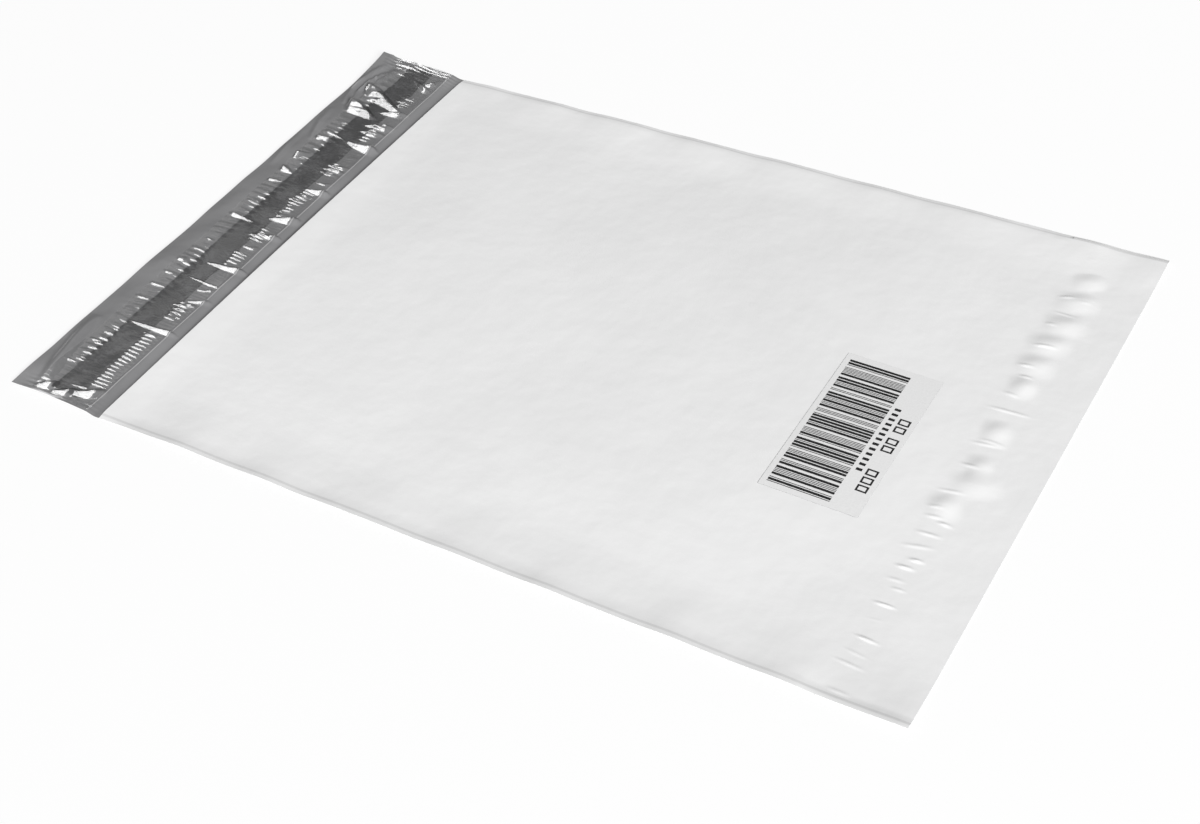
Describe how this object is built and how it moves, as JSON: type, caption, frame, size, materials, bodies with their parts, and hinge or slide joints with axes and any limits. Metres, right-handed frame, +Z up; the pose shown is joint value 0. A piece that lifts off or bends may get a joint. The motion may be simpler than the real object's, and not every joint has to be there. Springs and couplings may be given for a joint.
{
  "type": "poly mailer",
  "caption": "Flat plastic film mailing bag with an open grey flap, adhesive band under a crinkled release liner, and a small paper label.",
  "frame": {"origin": "on the resting surface, under the middle of the bag's whole length and width", "axes": "+X from the flap's free end to the bottom fold, +Y across the bag, +Z up from the back panel"},
  "size_m": [0.375, 0.254, 0.0043],
  "materials": {
    "white_film": "semi-gloss white polyethylene film, grey on the inside of the flap",
    "adhesive": "tacky hot-melt adhesive seen through the clear liner",
    "liner_film": "clear glossy crinkled film",
    "label_paper": "smooth white label paper"
  },
  "bodies": {
    "root": {"film_bag": "white_film", "glue_strip": "adhesive", "release_liner": "liner_film", "pack_label": "label_paper"}
  },
  "joints": []
}
